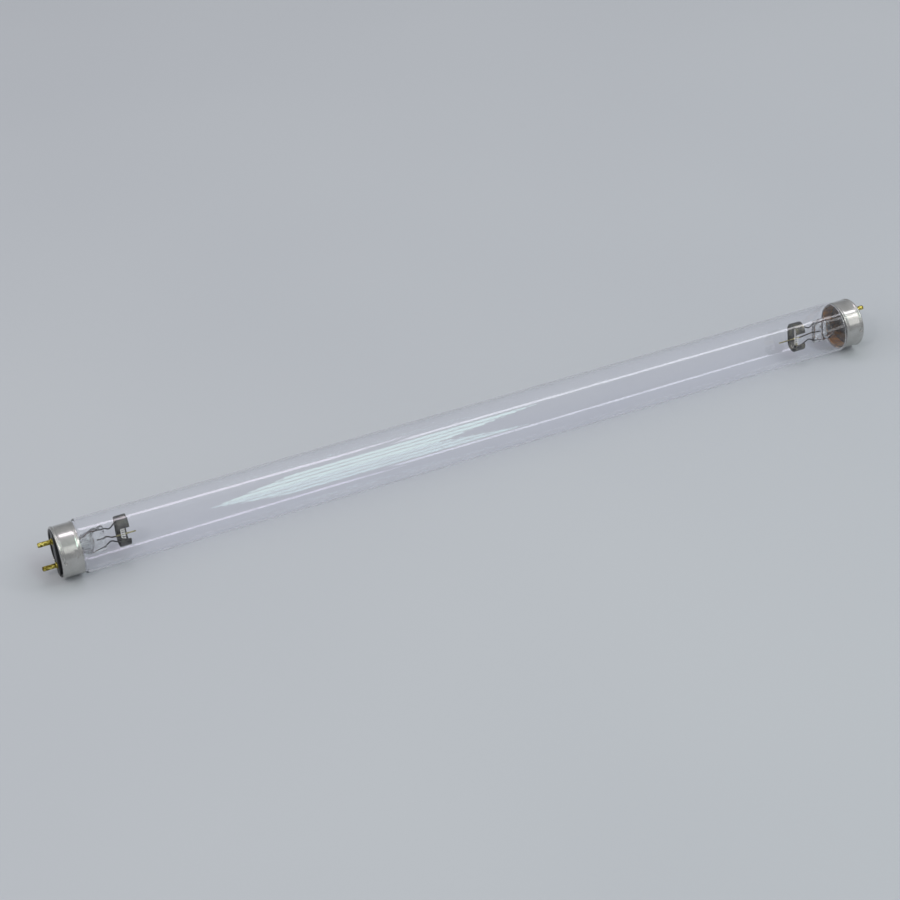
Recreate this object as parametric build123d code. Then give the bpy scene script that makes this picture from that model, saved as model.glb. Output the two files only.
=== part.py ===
"""Clear straight lamp tube with a two-pin cap on each end, made for ultraviolet disinfection.

The lamp lies along X with its middle over the origin and its glass touching z = 0.
Each end is first drawn in a frame of its own: X runs from the cap's outer face into the lamp,
Z runs along the line of the two contact pins, and X = 0 is the face that meets the lamp holder.
All sizes are in millimetres, and a "depth" is a distance along that X.
"""
from build123d import *
import math
import os

# Whole lamp
FACE_TO_FACE = 437.4
PIN_LINE_TURN = 12.5  # degrees from upright, the same at both ends
FIT = 0.02  # radial room of a piece that is pressed or cemented into another

# Glass tube: full bore, then a short shoulder down to a neck that the cap slides over
GLASS_OD = 26.5
GLASS_WALL = 0.8
NECK_STEP = 1.55  # how far the neck lies inside the full glass, on the radius
SHOULDER_START = 1.5  # full glass begins this far outside the cap's rim
SHOULDER_RUN = 2.2
SEAL_DEPTH = 4.2  # closed end of the neck
SEAL_LIP = 1.2  # width of the ring at the neck's end that the stem is melted to
NECK_CORNER = 0.6

# Cap shell: drawn aluminium with a rolled shoulder, a bead at each end and two stakes
SHELL_WALL = 0.4
SHELL_RIM_DEPTH = 10.9
SHELL_SETBACK = 0.35  # the insulator's bar stands this far proud of the shell
SHELL_SHOULDER = 0.9
SHELL_LIP = 0.95  # width of the turned-in lip, from the outside
SHELL_BEAD = 0.25
FACE_BEAD_WIDTH = 1.5
RIM_BEAD_WIDTH = 1.1
BEAD_SLOPE = 0.6
RIM_ROUND = 0.18
STAKE_DEPTH_FROM_FACE = 2.2
STAKE_BALL = 1.2  # radius of the punch
STAKE_DENT = 0.42

# Insulator: moulded disc with a raised bar under the pins and a pocket on each side of it
INSULATOR_BACK = 3.0
POCKET_FLOOR = 1.35
RING_SETBACK = 0.1  # the disc's outer ring lies this far behind the shell's lip
RING_WIDTH = 0.9
BAR_WIDTH = 5.6
BAR_ROUND = 0.3

# Contact pins: hollow brass, riveted through the insulator
PIN_OD = 2.35
PIN_BORE = 1.5
PIN_LENGTH = 7.1
PIN_SPACING = 12.7
PIN_TIP_WALL = 0.6
PIN_TIP_ROUND = 0.55
COLLAR_OD = 3.3
COLLAR_THICK = 0.65
COLLAR_ROUND = 0.25
RIVET_OD = 3.6
RIVET_THICK = 0.4
CRIMP_FROM_TIP = 1.9
CRIMP_BALL = 0.6
CRIMP_DENT = 0.2

# Cement between the neck and the shell
CEMENT_GAP = 0.35
CEMENT_START = 4.6
CEMENT_FROM_RIM = 0.8

# Stem: a flared glass tube, pressed flat round the wires
STEM_OD = 8.8
BRIM_FLAT = 0.6
BRIM_ROOM = 0.2  # between the brim and the neck's inner wall
STEM_STRAIGHT = 0.3
PRESS_RUN = 5.8  # length over which the tube is squeezed flat
PRESS_LENGTH = 6.6
PRESS_WIDTH = 12.6
PRESS_THICK = 3.2
PRESS_EDGE = 0.5
STEM_BORE_RUN = 2.9  # how far the bore reaches into the squeezed part
BORE_END_WIDTH = 8.8

# Pumping tube inside the stem, melted shut at its tip
PUMP_OD = 4.0
PUMP_WALL = 0.7
PUMP_TIP_DEPTH = 3.9
PUMP_TIP_TAPER = 1.6
PUMP_TIP_END = 0.6
PORT_DIAMETER = 1.5
PORT_ANGLE = 48.0

# Wires
OUTER_LEAD_D = 0.5
INNER_LEAD_D = 0.65
SUPPORT_D = 0.7
LEAD_BEND = 1.3
LEAD_IN_BORE = 5.8  # distance between the two leads where the bore is round
LEAD_AT_BORE_END = 7.4
LEAD_AT_PRESS_FOOT = 10.4
LEAD_AT_PRESS_END = 8.9
LEAD_AT_WAIST = 6.7
WAIST_FROM_PRESS = 2.6
LEAD_STRAIGHT = 1.6  # behind the insulator, before a lead turns in to the stem
WELD_IN_PRESS = 2.6  # where outer and inner leads meet, from the press's foot

# Guard: an oval band round the filament, open on one flat side
GUARD_WIDTH = 5.3
GUARD_LONG = 15.7
GUARD_SHORT = 9.0
GUARD_SHEET = 0.25
GUARD_GAP = 6.0
GUARD_HEM = 0.8  # the band's two ends are turned in by this much
SUPPORT_BEND = 2.0

# Filament: a coated coil with a bare leg at each end, held in two clamps
COIL_D = 1.7
COIL_STRAND_D = 0.55
COIL_PITCH = 1.15
COIL_TURNS = 7
COIL_END_TURN = 20.0  # degrees that the coil runs on past each leg
LEG_D = 0.36
COIL_LEG = 0.75
CLAMP_LENGTH = 1.4
CLAMP_WALL = 0.4

# What differs between the two ends
MOUNT_LEAN = {"left": 4.6, "right": 1.0}  # degrees that the wires lean along the pin line
GUARD_FROM_PRESS = {"left": 6.2, "right": 7.6}
GUARD_OPEN_SIDE = {"left": -1, "right": 1}  # which side of the end's frame the gap faces
WIRE_BELOW_MIDDLE = {"left": 4.2, "right": 3.0}  # where the support wire lies in the guard
WIRE_PAST_GUARD = {"left": 4.3, "right": 5.4}

# Worked out from the sizes above
GLASS_R = GLASS_OD / 2
NECK_R = GLASS_R - NECK_STEP
NECK_BORE_R = NECK_R - GLASS_WALL
SHELL_BORE_R = NECK_R + CEMENT_GAP
SHELL_R = SHELL_BORE_R + SHELL_WALL
BEAD_R = SHELL_R + SHELL_BEAD
LIP_BORE_R = BEAD_R - SHELL_LIP - SHELL_WALL / 2
LIP_BACK = SHELL_SETBACK + SHELL_WALL
BRIM_R = NECK_BORE_R - BRIM_ROOM
STEM_R = STEM_OD / 2
STEM_BORE_R = STEM_R - GLASS_WALL
BRIM_DEPTH = SEAL_DEPTH + GLASS_WALL
FLARE_R = BRIM_R - BRIM_FLAT - (STEM_R - GLASS_WALL / 2)
FLARE_END = BRIM_DEPTH + GLASS_WALL / 2 + FLARE_R
ROUND_END = FLARE_END + STEM_STRAIGHT
PRESS_FOOT = ROUND_END + PRESS_RUN
PRESS_END = PRESS_FOOT + PRESS_LENGTH
BORE_END = ROUND_END + STEM_BORE_RUN
WELD_DEPTH = PRESS_FOOT + WELD_IN_PRESS
COIL_HEIGHT = COIL_PITCH * COIL_TURNS
CLAMP_MIDDLE = COIL_HEIGHT / 2 + COIL_LEG + CLAMP_LENGTH / 2


def lean(side, depth):
    """Offset along the pin line that the leaning mount has at a depth."""
    return max(0.0, depth - ROUND_END) * math.tan(math.radians(MOUNT_LEAN[side]))


def guard_middle(side):
    """Depth of the guard's and the filament's middle."""
    return PRESS_END + GUARD_FROM_PRESS[side] + GUARD_WIDTH / 2


def mount_rise(side):
    """Offset along the pin line of the guard and the filament, which the leads carry."""
    return lean(side, guard_middle(side))


def along_x(face, start, end):
    """Prism of a face drawn with its own X and Y along the end's Y and Z."""
    return extrude(Plane(origin=(start, 0, 0), x_dir=(0, 1, 0), z_dir=(1, 0, 0)) * face, end - start)


def rod(radius, start, end):
    """Cylinder along X."""
    return along_x(Circle(radius), start, end)


def turned(edges):
    """Solid of revolution about X of a closed outline of (depth, radius)."""
    return revolve(make_face(edges), Axis.X, 360)


def bent_wire(points, bend, diameter):
    """Round wire along straight runs joined by arcs."""
    path = FilletPolyline(*points, radius=bend)
    return sweep(Plane(origin=path @ 0, z_dir=path % 0) * Circle(diameter / 2), path=path)


def make_glass_tube():
    """Tube with a shoulder, a neck and a turned-in seal ring at each end."""
    full = SHELL_RIM_DEPTH + SHOULDER_START
    neck = full - SHOULDER_RUN
    middle = FACE_TO_FACE / 2
    lip_r = NECK_BORE_R - SEAL_LIP
    level = [(1, 0), (1, 0)]
    corner = NECK_CORNER
    outline = [
        Line((middle, GLASS_R), (full, GLASS_R)),
        Spline((neck, NECK_R), (full, GLASS_R), tangents=level),
        Line((neck, NECK_R), (SEAL_DEPTH + corner, NECK_R)),
        RadiusArc((SEAL_DEPTH + corner, NECK_R), (SEAL_DEPTH, NECK_R - corner), -corner),
        Line((SEAL_DEPTH, NECK_R - corner), (SEAL_DEPTH, lip_r)),
        Line((SEAL_DEPTH, lip_r), (BRIM_DEPTH, lip_r)),
        Line((BRIM_DEPTH, lip_r), (BRIM_DEPTH, NECK_BORE_R)),
        Line((BRIM_DEPTH, NECK_BORE_R), (neck, NECK_BORE_R)),
        Spline((neck, NECK_BORE_R), (full, GLASS_R - GLASS_WALL), tangents=level),
        Line((full, GLASS_R - GLASS_WALL), (middle, GLASS_R - GLASS_WALL)),
        Line((middle, GLASS_R - GLASS_WALL), (middle, GLASS_R)),
    ]
    half = Pos(-middle, 0, 0) * turned(outline)
    return Pos(0, 0, GLASS_R) * (half + half.mirror(Plane.YZ))


def stake_balls(radius):
    """Punch shapes on both sides of the pin line."""
    reach = SHELL_R + STAKE_BALL - STAKE_DENT
    return [Pos(STAKE_DEPTH_FROM_FACE, side * reach, 0) * Sphere(radius) for side in (-1, 1)]


def make_cap_shell():
    """Drawn cup, open at the rim, with a lip that holds the insulator."""
    face = SHELL_SETBACK
    rim = SHELL_RIM_DEPTH
    face_bead_end = face + FACE_BEAD_WIDTH
    rim_bead_start = rim - RIM_BEAD_WIDTH
    level = [(1, 0), (1, 0)]
    outline = [
        Line((face, LIP_BORE_R), (face, BEAD_R - SHELL_SHOULDER)),
        RadiusArc((face, BEAD_R - SHELL_SHOULDER), (face + SHELL_SHOULDER, BEAD_R), SHELL_SHOULDER),
        Line((face + SHELL_SHOULDER, BEAD_R), (face_bead_end, BEAD_R)),
        Spline((face_bead_end, BEAD_R), (face_bead_end + BEAD_SLOPE, SHELL_R), tangents=level),
        Line((face_bead_end + BEAD_SLOPE, SHELL_R), (rim_bead_start - BEAD_SLOPE, SHELL_R)),
        Spline((rim_bead_start - BEAD_SLOPE, SHELL_R), (rim_bead_start, BEAD_R), tangents=level),
        Line((rim_bead_start, BEAD_R), (rim - RIM_ROUND, BEAD_R)),
        RadiusArc((rim - RIM_ROUND, BEAD_R), (rim, BEAD_R - RIM_ROUND), RIM_ROUND),
        Line((rim, BEAD_R - RIM_ROUND), (rim, SHELL_BORE_R)),
        Line((rim, SHELL_BORE_R), (LIP_BACK, SHELL_BORE_R)),
        Line((LIP_BACK, SHELL_BORE_R), (LIP_BACK, LIP_BORE_R)),
        Line((LIP_BACK, LIP_BORE_R), (face, LIP_BORE_R)),
    ]
    shell = turned(outline)
    inside = rod(SHELL_BORE_R + FIT, LIP_BACK, rim)
    for bump in stake_balls(STAKE_BALL + SHELL_WALL):
        shell += bump & inside
    for dent in stake_balls(STAKE_BALL):
        shell -= dent
    return shell


def make_insulator():
    """Disc held behind the shell's lip, with the bar that carries the pins."""
    ring_r = LIP_BORE_R - FIT
    ring_face = SHELL_SETBACK + RING_SETBACK
    disc = rod(SHELL_BORE_R - FIT, LIP_BACK, INSULATOR_BACK) + rod(ring_r, ring_face, LIP_BACK)
    pocket = rod(ring_r - RING_WIDTH, 0, POCKET_FLOOR)
    bar = along_x(Rectangle(BAR_WIDTH, 2 * ring_r), 0, POCKET_FLOOR)
    disc = disc - pocket + (bar & rod(ring_r, 0, POCKET_FLOOR))
    front = disc.faces().sort_by(Axis.X)[0]
    long_edges = front.edges().filter_by(Axis.Z)
    disc = fillet(long_edges, BAR_ROUND)
    for notch in stake_balls(STAKE_BALL + SHELL_WALL + FIT):
        disc -= notch
    for pin_side in (-1, 1):
        disc -= Pos(0, 0, pin_side * PIN_SPACING / 2) * rod(PIN_OD / 2 + FIT, -1, INSULATOR_BACK + 1)
    return disc


def make_contact_pin(pin_side):
    """Hollow pin with a collar on the face, a rivet head behind and two crimp dents."""
    pin_r = PIN_OD / 2
    tip = -PIN_LENGTH
    pin = rod(pin_r, tip, INSULATOR_BACK)
    pin = fillet(pin.edges().sort_by(Axis.X)[0], PIN_TIP_ROUND)
    collar = rod(COLLAR_OD / 2, -COLLAR_THICK, 0)
    pin += fillet(collar.edges().sort_by(Axis.X)[0], COLLAR_ROUND)
    pin += rod(RIVET_OD / 2, INSULATOR_BACK, INSULATOR_BACK + RIVET_THICK)
    pin -= rod(PIN_BORE / 2, tip + PIN_TIP_WALL, INSULATOR_BACK + RIVET_THICK)
    for dent_side in (-1, 1):
        reach = dent_side * (pin_r + CRIMP_BALL - CRIMP_DENT)
        pin -= Pos(tip + CRIMP_FROM_TIP, reach, 0) * Sphere(CRIMP_BALL)
    return Pos(0, 0, pin_side * PIN_SPACING / 2) * pin


def make_cement():
    """Ring of basing cement between the neck and the shell."""
    outer = rod(SHELL_BORE_R - FIT, CEMENT_START, SHELL_RIM_DEPTH - CEMENT_FROM_RIM)
    return outer - rod(NECK_R + FIT, 0, SHELL_RIM_DEPTH)


def stem_section(depth, width, thick, offset):
    """Flattened section of the stem, long along the pin line."""
    plane = Plane(origin=(depth, 0, offset), x_dir=(0, 0, 1), z_dir=(1, 0, 0))
    return plane * SlotOverall(width, thick)


def make_stem(side, wires, pump_tube):
    """Flare, round tube and flat press as one glass piece, with room for the wires."""
    wall = GLASS_WALL
    brim_back = BRIM_DEPTH + wall
    outside = [
        Line((BRIM_DEPTH, 0), (BRIM_DEPTH, BRIM_R)),
        Line((BRIM_DEPTH, BRIM_R), (brim_back, BRIM_R)),
        Line((brim_back, BRIM_R), (brim_back, BRIM_R - BRIM_FLAT)),
        RadiusArc((brim_back, BRIM_R - BRIM_FLAT), (FLARE_END, STEM_R), FLARE_R - wall / 2),
        Line((FLARE_END, STEM_R), (ROUND_END, STEM_R)),
        Line((ROUND_END, STEM_R), (ROUND_END, 0)),
        Line((ROUND_END, 0), (BRIM_DEPTH, 0)),
    ]
    inside = [
        Line((BRIM_DEPTH, 0), (BRIM_DEPTH, BRIM_R - BRIM_FLAT)),
        RadiusArc((BRIM_DEPTH, BRIM_R - BRIM_FLAT), (FLARE_END, STEM_BORE_R), FLARE_R + wall / 2),
        Line((FLARE_END, STEM_BORE_R), (ROUND_END, STEM_BORE_R)),
        Line((ROUND_END, STEM_BORE_R), (ROUND_END, 0)),
        Line((ROUND_END, 0), (BRIM_DEPTH, 0)),
    ]
    round_plane = Plane(origin=(ROUND_END, 0, 0), x_dir=(0, 0, 1), z_dir=(1, 0, 0))
    foot = stem_section(PRESS_FOOT, PRESS_WIDTH, PRESS_THICK, lean(side, PRESS_FOOT))
    end = stem_section(PRESS_END, PRESS_WIDTH, PRESS_THICK, lean(side, PRESS_END))
    squeezed = loft([round_plane * Circle(STEM_R), foot])
    press = loft([foot, end], ruled=True)
    press = fillet(press.faces().sort_by(Axis.X)[-1].edges(), PRESS_EDGE)
    stem = turned(outside) + squeezed + press
    bore_thick = PUMP_OD + 2 * FIT
    bore_end = stem_section(BORE_END, BORE_END_WIDTH, bore_thick, lean(side, BORE_END) / 2)
    stem -= turned(inside)
    stem -= loft([round_plane * Circle(STEM_BORE_R), bore_end])
    port = Pos(BORE_END, 0, 0) * Rot(0, 0, PORT_ANGLE) * rod(PORT_DIAMETER / 2, -PORT_DIAMETER, STEM_OD)
    stem -= port
    stem -= pump_tube
    for wire in wires:
        stem -= wire
    return stem


def make_pump_tube():
    """Small glass tube inside the stem, drawn to a closed tip behind the insulator."""
    shank = PUMP_TIP_DEPTH + PUMP_TIP_TAPER
    outer_r = PUMP_OD / 2
    bore_r = outer_r - PUMP_WALL
    outline = [
        Line((PUMP_TIP_DEPTH, 0), (PUMP_TIP_DEPTH, PUMP_TIP_END)),
        Spline((PUMP_TIP_DEPTH, PUMP_TIP_END), (shank, outer_r), tangents=[(0.3, 1), (1, 0)]),
        Line((shank, outer_r), (BORE_END, outer_r)),
        Line((BORE_END, outer_r), (BORE_END, bore_r)),
        Line((BORE_END, bore_r), (shank, bore_r)),
        Line((shank, bore_r), (shank - bore_r / 2, 0)),
        Line((shank - bore_r / 2, 0), (PUMP_TIP_DEPTH, 0)),
    ]
    return turned(outline)


def make_outer_lead(side, pin_side):
    """Lead from inside a pin's tip, through the stem's bore, into the press."""
    turn_in = INSULATOR_BACK + LEAD_STRAIGHT
    points = [
        (-PIN_LENGTH + PIN_TIP_WALL, 0, pin_side * PIN_SPACING / 2),
        (turn_in, 0, pin_side * PIN_SPACING / 2),
        (ROUND_END - FLARE_R / 2, 0, pin_side * LEAD_IN_BORE / 2),
        (ROUND_END, 0, pin_side * LEAD_IN_BORE / 2),
        (BORE_END, 0, pin_side * LEAD_AT_BORE_END / 2 + lean(side, BORE_END)),
        (PRESS_FOOT, 0, pin_side * LEAD_AT_PRESS_FOOT / 2 + lean(side, PRESS_FOOT)),
        press_point(side, pin_side, WELD_DEPTH),
    ]
    return bent_wire(points, LEAD_BEND, OUTER_LEAD_D)


def press_point(side, pin_side, depth):
    """Point of a lead inside the press, where it runs straight from foot to end."""
    share = (depth - PRESS_FOOT) / PRESS_LENGTH
    spread = LEAD_AT_PRESS_FOOT + share * (LEAD_AT_PRESS_END - LEAD_AT_PRESS_FOOT)
    return (depth, 0, pin_side * spread / 2 + lean(side, depth))


def make_inner_lead(side, pin_side):
    """Lead from the press, bowed in at its waist, to the clamp on the filament's leg."""
    waist = PRESS_END + WAIST_FROM_PRESS
    leg_depth = guard_middle(side) + COIL_D / 2
    clamp_z = pin_side * CLAMP_MIDDLE + mount_rise(side)
    points = [
        press_point(side, pin_side, WELD_DEPTH),
        press_point(side, pin_side, PRESS_END + LEAD_BEND / 3),
        (waist, 0, pin_side * LEAD_AT_WAIST / 2 + lean(side, waist)),
        (guard_middle(side) - GUARD_WIDTH / 2, 0, clamp_z),
        (leg_depth, 0, clamp_z),
    ]
    lead = bent_wire(points, LEAD_BEND, INNER_LEAD_D)
    barrel = Pos(leg_depth, 0, clamp_z) * Cylinder(LEG_D / 2 + CLAMP_WALL, CLAMP_LENGTH)
    leg_hole = Pos(leg_depth, 0, clamp_z) * Cylinder(LEG_D / 2, 2 * CLAMP_LENGTH)
    return lead + barrel - leg_hole


def wire_seat(side):
    """Place in the guard where the support wire lies along the band's closed side."""
    below = WIRE_BELOW_MIDDLE[side]
    round_part = max(0.0, below - (GUARD_LONG - GUARD_SHORT) / 2)
    reach = GUARD_SHORT / 2 - GUARD_SHEET - SUPPORT_D / 2
    y = -GUARD_OPEN_SIDE[side] * math.sqrt(reach ** 2 - round_part ** 2)
    return y, mount_rise(side) - below


def make_support_wire(side):
    """Wire from the press's middle to the guard and on past it."""
    seat_y, seat_z = wire_seat(side)
    level_from = guard_middle(side) - GUARD_WIDTH / 2 - SUPPORT_BEND
    points = [
        (WELD_DEPTH, 0, lean(side, WELD_DEPTH)),
        (PRESS_END + SUPPORT_BEND / 2, 0, lean(side, PRESS_END)),
        (level_from, seat_y, seat_z),
        (guard_middle(side) + GUARD_WIDTH / 2 + WIRE_PAST_GUARD[side], seat_y, seat_z),
    ]
    return bent_wire(points, SUPPORT_BEND, SUPPORT_D)


def make_guard(side):
    """Oval band round the filament with its two ends turned in at the gap."""
    open_side = GUARD_OPEN_SIDE[side]
    bore = SlotOverall(GUARD_LONG - 2 * GUARD_SHEET, GUARD_SHORT - 2 * GUARD_SHEET)
    band_face = SlotOverall(GUARD_LONG, GUARD_SHORT) - bore
    gap_y = open_side * (GUARD_SHORT - GUARD_SHEET) / 2
    gap = Pos(0, gap_y, 0) * Rectangle(GUARD_GAP, 2 * GUARD_SHEET)
    band_face -= gap
    for hem_side in (-1, 1):
        hem_x = hem_side * (GUARD_GAP + GUARD_SHEET) / 2
        hem_y = open_side * (GUARD_SHORT - GUARD_HEM) / 2
        band_face += Pos(hem_x, hem_y, 0) * Rectangle(GUARD_SHEET, GUARD_HEM)
    start = guard_middle(side) - GUARD_WIDTH / 2
    plane = Plane(origin=(start, 0, mount_rise(side)), x_dir=(0, 0, 1), z_dir=(1, 0, 0))
    return extrude(plane * Rot(0, 0, 180) * band_face, GUARD_WIDTH)


def make_filament(side):
    """Coil across the guard, with a straight leg at each end."""
    run_on = COIL_PITCH * COIL_END_TURN / 360
    helix = Helix(COIL_PITCH, COIL_HEIGHT + 2 * run_on, COIL_D / 2)
    section = Plane(origin=helix @ 0, z_dir=helix % 0) * Circle(COIL_STRAND_D / 2)
    coil = sweep(section, path=helix, is_frenet=True)
    filament = Pos(0, 0, -COIL_HEIGHT / 2 - run_on) * Rot(0, 0, -COIL_END_TURN) * coil
    leg_length = COIL_LEG + CLAMP_LENGTH
    for leg_side in (-1, 1):
        leg_middle = leg_side * (COIL_HEIGHT + leg_length) / 2
        filament += Pos(COIL_D / 2, 0, leg_middle) * Cylinder(LEG_D / 2, leg_length)
    return Pos(guard_middle(side), 0, mount_rise(side)) * filament


def make_end(side):
    """Every piece of one end, in the end's own frame."""
    pieces = {
        "cap_shell": make_cap_shell(),
        "insulator": make_insulator(),
        "basing_cement": make_cement(),
        "pump_tube": make_pump_tube(),
        "support_wire": make_support_wire(side),
        "guard": make_guard(side),
        "filament": make_filament(side),
    }
    for pin_name, pin_side in (("upper", 1), ("lower", -1)):
        pieces[f"{pin_name}_contact_pin"] = make_contact_pin(pin_side)
        pieces[f"{pin_name}_outer_lead"] = make_outer_lead(side, pin_side)
        pieces[f"{pin_name}_inner_lead"] = make_inner_lead(side, pin_side)
    wires = [shape for name, shape in pieces.items() if name.endswith(("lead", "support_wire"))]
    pieces["stem"] = make_stem(side, wires, pieces["pump_tube"])
    return pieces


def end_place(side):
    """Where an end's frame stands in the lamp."""
    turn = Rot(-PIN_LINE_TURN, 0, 0)
    if side == "left":
        return Pos(-FACE_TO_FACE / 2, 0, GLASS_R) * turn
    return Pos(FACE_TO_FACE / 2, 0, GLASS_R) * turn * Rot(0, 0, 180)


def make_lamp():
    """All pieces of the lamp by name."""
    lamp = {"glass_tube": make_glass_tube()}
    for side in ("left", "right"):
        for name, shape in make_end(side).items():
            lamp[f"{side}_{name}"] = end_place(side) * shape
    return lamp


os.makedirs("parts", exist_ok=True)
for node, shape in make_lamp().items():
    export_step(shape, f"parts/{node}.step")
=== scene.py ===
"""Looks of a clear straight lamp tube with a two-pin cap on each end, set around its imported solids.

Each end is drawn in millimetres in a frame of its own, as its solids are: X runs from the cap's outer
face into the lamp, Z runs along the line of the two contact pins, and a "depth" is a distance along X.
end_place() then sets the mesh in the lamp, in metres. All the pieces are rigid and ride on one body.
"""
from math import ceil, copysign, cos, exp, hypot, pi, radians, sin, sqrt, tan

import bmesh
import bpy
from mathutils import Matrix, Vector, noise


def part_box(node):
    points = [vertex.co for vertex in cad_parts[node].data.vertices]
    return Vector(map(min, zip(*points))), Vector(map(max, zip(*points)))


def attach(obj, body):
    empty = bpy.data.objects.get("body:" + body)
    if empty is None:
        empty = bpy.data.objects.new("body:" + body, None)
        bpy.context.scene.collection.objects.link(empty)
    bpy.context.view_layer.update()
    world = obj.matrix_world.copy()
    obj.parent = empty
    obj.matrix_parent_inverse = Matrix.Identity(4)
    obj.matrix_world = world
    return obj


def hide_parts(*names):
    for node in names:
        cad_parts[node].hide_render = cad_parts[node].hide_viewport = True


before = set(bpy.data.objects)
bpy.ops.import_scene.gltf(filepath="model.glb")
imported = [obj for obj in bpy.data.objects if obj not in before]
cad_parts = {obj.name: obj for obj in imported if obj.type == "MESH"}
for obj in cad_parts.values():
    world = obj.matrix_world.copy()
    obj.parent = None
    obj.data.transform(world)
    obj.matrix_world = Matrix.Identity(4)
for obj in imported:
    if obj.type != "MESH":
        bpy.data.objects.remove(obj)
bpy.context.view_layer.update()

MM = 0.001
BODY = "root"
SHARP_ANGLE = radians(32)

# Lamp: the solids give the length between the faces and the glass's radius
GLASS_R = (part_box("glass_tube")[1].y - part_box("glass_tube")[0].y) / 2 / MM
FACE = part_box("right_insulator")[1].x / MM
PIN_LINE_TURN = radians(12.5)
FIT = 0.02  # room between a piece and what holds it

# Glass tube
GLASS_WALL = 0.8
NECK_STEP = 1.55
SHOULDER_START = 1.5
SHOULDER_RUN = 2.2
BEHIND_SHOULDER = (0.0, 0.3, 0.9, 2.5)  # rings that keep the wall's shading straight
SEAL_DEPTH = 4.2
SEAL_LIP = 1.2
NECK_CORNER = 0.6
NECK_R = GLASS_R - NECK_STEP
NECK_BORE_R = NECK_R - GLASS_WALL
BRIM_DEPTH = SEAL_DEPTH + GLASS_WALL

# Cap shell
SHELL_WALL = 0.4
RIM_DEPTH = 10.9
SHELL_SETBACK = 0.35
SHELL_SHOULDER = 0.9
SHELL_LIP = 0.95
LIP_ROUND = 0.12
BORE_ROUND = 0.08
SHELL_BEAD = 0.25
FACE_BEAD_WIDTH = 1.5
RIM_BEAD_WIDTH = 1.1
BEAD_SLOPE = 0.6
RIM_ROUND = 0.3
GROOVE = 0.06  # the die leaves a shallow groove beside each bead
CEMENT_GAP = 0.35
SHELL_BORE_R = NECK_R + CEMENT_GAP
SHELL_R = SHELL_BORE_R + SHELL_WALL
BEAD_R = SHELL_R + SHELL_BEAD
LIP_BORE_R = BEAD_R - SHELL_LIP - SHELL_WALL / 2
LIP_BACK = SHELL_SETBACK + SHELL_WALL
STAKE_DEPTH = 2.2
STAKE_WIDE = 0.85
STAKE_DEEP = 0.42
KNOCK_DEPTH = 8.35
KNOCK_ANGLE = radians(-76.5)
KNOCK_WIDE = 0.45
KNOCK_TALL = 1.5
KNOCK_DEEP = 0.3
KNOCK_BOW = 0.12

# Contact pins
PIN_OD = 2.35
PIN_BORE = 1.5
PIN_LENGTH = 7.1
PIN_SPACING = 12.7
PIN_TIP_WALL = 0.6
PIN_TIP_ROUND = 0.55
COLLAR_OD = 3.3
COLLAR_THICK = 0.65
COLLAR_ROUND = 0.25
RIVET_OD = 3.6
RIVET_THICK = 0.4
INSULATOR_BACK = 3.0
CRIMP_FROM_TIP = 1.9
CRIMP_BALL = 0.6
CRIMP_DENT = 0.2
PIN_WEAR = 0.02
PIN_WEAR_SIZE = 1.1
TIP_HOLE_R = 0.42
TIP_HOLE_DEEP = 0.14

# Cement: its free edge creeps back by up to the creep, in bumps of these sizes
CEMENT_START = 4.6
CEMENT_FROM_RIM = 0.8
FREE_EDGE = 1.5
CREEP, CREEP_SIZE = 0.5, 3.5
FINE_CREEP, FINE_CREEP_SIZE = 0.15, 0.9

# Stem and pumping tube
STEM_R = 4.4
BRIM_FLAT = 0.6
BRIM_R = NECK_BORE_R - 0.2
FLARE_R = BRIM_R - BRIM_FLAT - (STEM_R - GLASS_WALL / 2)
FLARE_END = BRIM_DEPTH + GLASS_WALL / 2 + FLARE_R
ROUND_END = FLARE_END + 0.3
PRESS_FOOT = ROUND_END + 5.8
PRESS_END = PRESS_FOOT + 6.6
PRESS_WIDTH = 12.6
PRESS_THICK = 3.2
BORE_END = ROUND_END + 2.9
PUMP_R = 2.0
PUMP_WALL = 0.7
PUMP_TIP_DEPTH = 3.9
PUMP_TIP_TAPER = 1.6
PUMP_DROP = ((0, 0), (0.08, 0.35), (0.3, 0.75), (0.65, 1.25), (1.1, 1.7))  # depths behind the tip and radii
MOUTH_RUN = 2.6
MOUTH_PAST_BUBBLE = 0.2
MOUTH_FLARE = 0.7
PORT_R = 0.75
PORT_REACH = 9.0
BUBBLE_DEPTH = 15.9  # middle of the swelling that was blown when the port was opened
BUBBLE_CLOSING = 16.6
BUBBLE_END = 18.0
SWELL = 0.35
SWELL_LONG = 1.1
SQUEEZE_END = 19.2
SQUEEZE_LATE = 0.3  # share of the way at which the tube starts to flatten
PRESS_ROUND = 0.6
MELT_SIZE, FINE_MELT_SIZE = 2.6, 1.1
ROUND, BORE_SQUARE, PRESS_SQUARE = 2.0, 2.2, 3.0  # how square a ring is, from an ellipse up
PORT_ANGLE = radians(48)

# Wires; the LEAD sizes are distances between the two leads, down to the waist
OUTER_LEAD_D = 0.5
INNER_LEAD_D = 0.65
SUPPORT_D = 0.7
LEAD_IN_BORE = 5.8
LEAD_AT_BORE_END = 7.4
LEAD_AT_PRESS_FOOT = 10.4
LEAD_AT_PRESS_END = 8.9
LEAD_AT_WAIST = 6.7
LEAD_STRAIGHT = 1.6
WELD_DEPTH = PRESS_FOOT + 2.6
WAIST_DEPTH = PRESS_END + 2.6
OUTER_LEAD_BEND = 1.6
WIRE_BEND = 3.0
BURNT_PAST_PRESS, CLEAN_PAST_PRESS = 4.0, 7.5  # of the centre wire

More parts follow.
